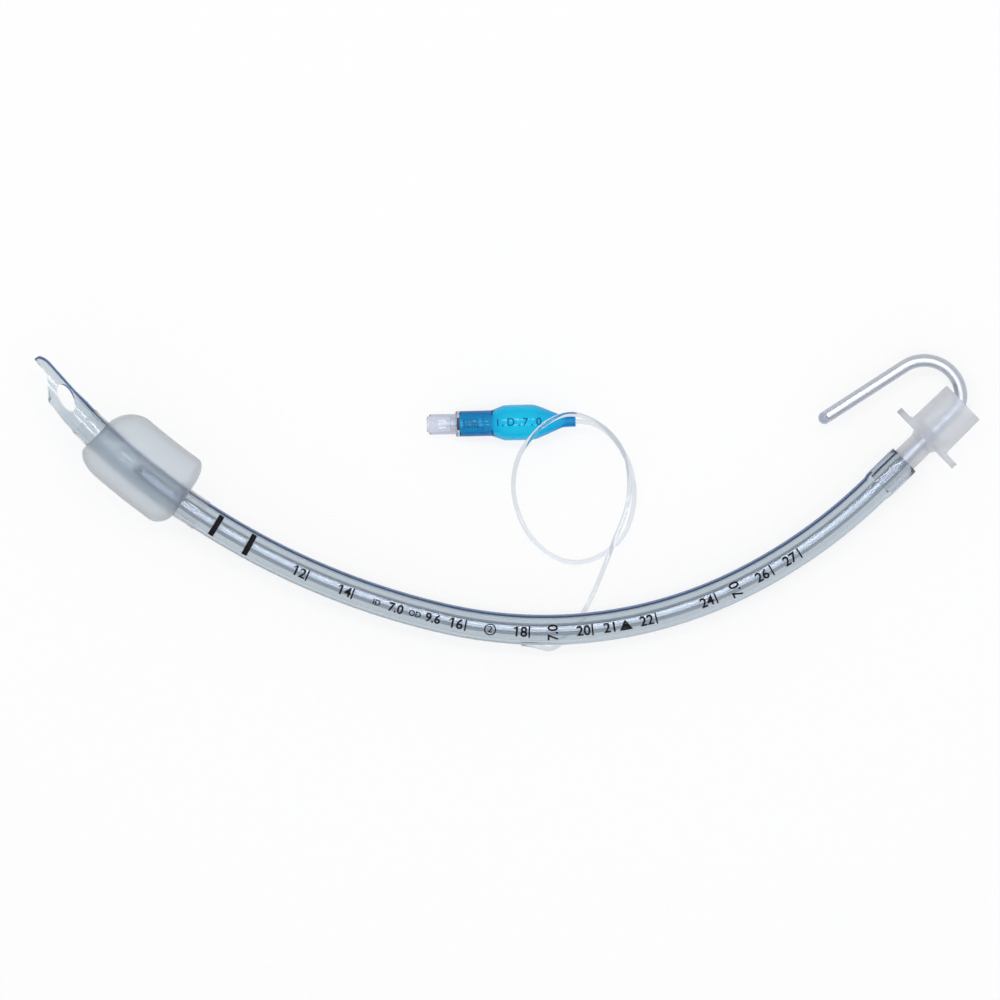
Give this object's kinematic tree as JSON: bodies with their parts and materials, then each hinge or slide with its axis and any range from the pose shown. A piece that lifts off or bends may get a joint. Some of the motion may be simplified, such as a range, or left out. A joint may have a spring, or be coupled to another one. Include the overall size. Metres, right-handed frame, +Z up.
{
  "type": "endotracheal tube",
  "caption": "Cuffed clear endotracheal tube with inflated cuff, pilot balloon and valve, 15 mm connector and a malleable stylet hooked over the connector.",
  "frame": {"origin": "on the surface the tube lies on, below the middle of the box of the tube, cuff, connector and stylet", "axes": "+X from the patient end to the connector, +Y towards the inside of the tube's bow, +Z up"},
  "size_m": [0.2968, 0.0935, 0.0257],
  "materials": {
    "tube_vinyl": "clear",
    "blue_line": "satin",
    "cuff_film": "frosted",
    "line_vinyl": "clear",
    "balloon_vinyl": "clear",
    "valve_plastic": "clear",
    "stem_plastic": "satin",
    "seal_rubber": "matte",
    "spring_steel": "satin",
    "connector_plastic": "frosted",
    "sheath_plastic": "clear",
    "core_metal": "satin"
  },
  "bodies": {
    "tube_set": {"tube": "tube_vinyl", "radiopaque_line": "blue_line", "cuff": "cuff_film", "inflation_line": "line_vinyl", "pilot_balloon": "balloon_vinyl", "valve_body": "valve_plastic", "valve_retainer": "stem_plastic", "valve_spring": "spring_steel", "connector": "connector_plastic", "stylet_sheath": "sheath_plastic", "stylet_core": "core_metal"},
    "plunger": {"valve_stem": "stem_plastic", "valve_seal": "seal_rubber"}
  },
  "joints": [
    {"name": "valve_push", "type": "slide", "parent": "tube_set", "child": "plunger", "axis": [0.9944, 0.0226, 0.1031], "range_m": [0, 0.0015], "stiffness_N_per_m": 300, "deforming": ["valve_spring"]}
  ]
}
